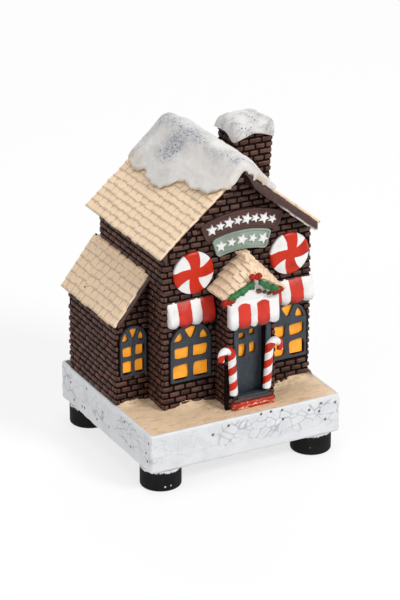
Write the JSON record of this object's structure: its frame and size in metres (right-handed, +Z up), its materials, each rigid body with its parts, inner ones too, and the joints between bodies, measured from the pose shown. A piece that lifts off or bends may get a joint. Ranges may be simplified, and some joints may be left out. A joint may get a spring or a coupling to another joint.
{
  "type": "lit christmas village house",
  "caption": "Table-top Christmas village sweet shop in painted cast resin on a footed stone plinth, lit through amber windows by a coin-cell light unit underneath.",
  "frame": {"origin": "on the table, under the centre of the plinth", "axes": "+Z up, the shop front faces -Y, +X to the right seen from the front"},
  "size_m": [0.08, 0.076, 0.125],
  "materials": {
    "stone_paint": "crackled white-grey stone relief, hand painted",
    "ground_paint": "matte cream paint, slightly rough",
    "black_feet": "matte black",
    "brick_paint": "dark maroon brick relief, dry-brushed",
    "brown_paint": "smooth matte brown paint",
    "shingle_paint": "cream shingle relief with dark gaps",
    "snow_paint": "matte off-white paint with grey smudges",
    "slate_paint": "slate blue-grey paint",
    "amber_film": "amber window film",
    "awning_paint": "red and white painted stripes",
    "candy_paint": "red and white painted swirl, satin",
    "sign_brown": "brown paint with a lighter rim",
    "sign_green": "sage green paint",
    "garland_green": "leaf green paint",
    "bow_red": "red paint",
    "step_red": "red paint with a brown top",
    "gable_white": "off-white paint",
    "white_plastic": "moulded white plastic",
    "board_green": "solder-masked circuit board",
    "lamp_clear": "warm white lamp body",
    "cell_steel": "coin cell can",
    "contact_metal": "sprung contact strip",
    "switch_black": "black switch plastic",
    "screw_steel": "plated screw"
  },
  "bodies": {
    "house": {"plinth": "stone_paint", "ground": "ground_paint", "foot_front_left": "black_feet", "foot_front_right": "black_feet", "foot_back_left": "black_feet", "foot_back_right": "black_feet", "house_walls": "brick_paint", "roof_board": "brown_paint", "roof_tiles_left": "shingle_paint", "roof_tiles_right": "shingle_paint", "wing_walls": "brick_paint", "wing_roof_board": "brown_paint", "wing_roof_tiles": "shingle_paint", "entrance_bay": "brick_paint", "porch_tiles_left": "shingle_paint", "porch_tiles_right": "shingle_paint", "porch_gable": "gable_white", "door": "slate_paint", "door_panes": "amber_film", "door_trim": "slate_paint", "doorstep": "step_red", "window_frame_left": "slate_paint", "window_pane_left": "amber_film", "window_frame_right": "slate_paint", "window_pane_right": "amber_film", "window_frame_wing": "slate_paint", "window_pane_wing": "amber_film", "awning_left": "awning_paint", "awning_right": "awning_paint", "awning_porch": "awning_paint", "peppermint_left": "candy_paint", "peppermint_right": "candy_paint", "sign_upper": "sign_brown", "sign_lower": "sign_green", "candy_cane_left": "candy_paint", "candy_cane_right": "candy_paint", "garland_left": "garland_green", "garland_right": "garland_green", "bow_top": "bow_red", "bow_left": "bow_red", "bow_right": "bow_red", "chimney": "brick_paint", "chimney_snow": "snow_paint", "ridge_snow": "snow_paint", "light_housing": "white_plastic", "light_lid": "white_plastic", "circuit_board": "board_green", "lamp": "lamp_clear", "coin_cell": "cell_steel", "cell_holder": "switch_black", "contact_side": "contact_metal", "contact_top": "contact_metal", "switch_body": "switch_black", "unit_screws": "screw_steel"},
    "cap": {"battery_cap": "white_plastic"},
    "slider": {"switch_slider": "switch_black"}
  },
  "joints": [
    {"name": "cap_turn", "type": "hinge", "parent": "house", "child": "cap", "pos_m": [0.0011, 0.0055, 0.0083], "axis": [0, 0, -1], "range_deg": [0, 60]},
    {"name": "switch_slide", "type": "slide", "parent": "house", "child": "slider", "axis": [0, 1, 0], "range_m": [0, 0.003]}
  ]
}
